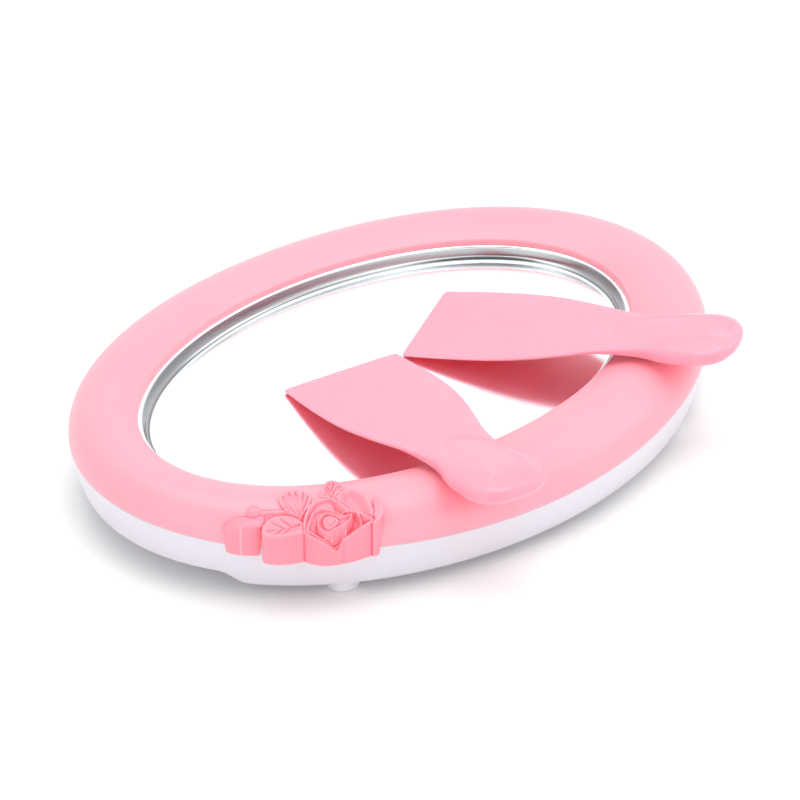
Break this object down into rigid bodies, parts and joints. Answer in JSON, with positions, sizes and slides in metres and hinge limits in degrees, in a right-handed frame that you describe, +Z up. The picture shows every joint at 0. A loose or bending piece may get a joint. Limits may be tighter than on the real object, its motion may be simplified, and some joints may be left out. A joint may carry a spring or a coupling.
{
  "type": "ice cream maker",
  "caption": "Oval cold plate in a moulded rim over a sealed freezing-gel base, with a rose ornament and two scrapers resting on it.",
  "frame": {"origin": "on the surface that the part stands on, under the middle of the whole outline", "axes": "+X along the oval's length towards its right end, +Y away from the side that carries the rose, +Z up"},
  "size_m": [0.3, 0.2369, 0.0548],
  "materials": {
    "rim_plastic": "satin pink moulded plastic",
    "tray_metal": "bright pressed aluminium, polished wall and satin floor",
    "seal_rubber": "pale silicone rubber",
    "liner_plastic": "matte white moulded plastic",
    "gel": "set freezing gel",
    "foam": "closed-cell foam",
    "shell_plastic": "satin white moulded plastic with a faint lilac cast",
    "foot_rubber": "white soft rubber",
    "screw_steel": "zinc-plated steel",
    "rose_plastic": "matte pink moulded plastic",
    "spatula_plastic": "glossy, slightly translucent pale pink plastic"
  },
  "bodies": {
    "body": {"rim_cover": "rim_plastic", "cold_tray": "tray_metal", "tray_gasket": "seal_rubber", "reservoir_shell": "liner_plastic", "freezing_gel": "gel", "fill_plug": "liner_plastic", "fill_plug_seal": "seal_rubber", "insulation_pad": "foam", "base_shell": "shell_plastic", "foot_front_left": "foot_rubber", "foot_front_right": "foot_rubber", "foot_rear_left": "foot_rubber", "foot_rear_right": "foot_rubber", "case_screws": "screw_steel", "rose_ornament": "rose_plastic", "ornament_clips": "screw_steel"},
    "front_scraper": {"front_spatula": "spatula_plastic"},
    "rear_scraper": {"rear_spatula": "spatula_plastic"}
  },
  "joints": [
    {"name": "front_spatula_lift", "type": "slide", "parent": "body", "child": "front_scraper", "axis": [0, 0, 1], "range_m": [0, 0.08]},
    {"name": "rear_spatula_lift", "type": "slide", "parent": "body", "child": "rear_scraper", "axis": [0, 0, 1], "range_m": [0, 0.08]}
  ]
}
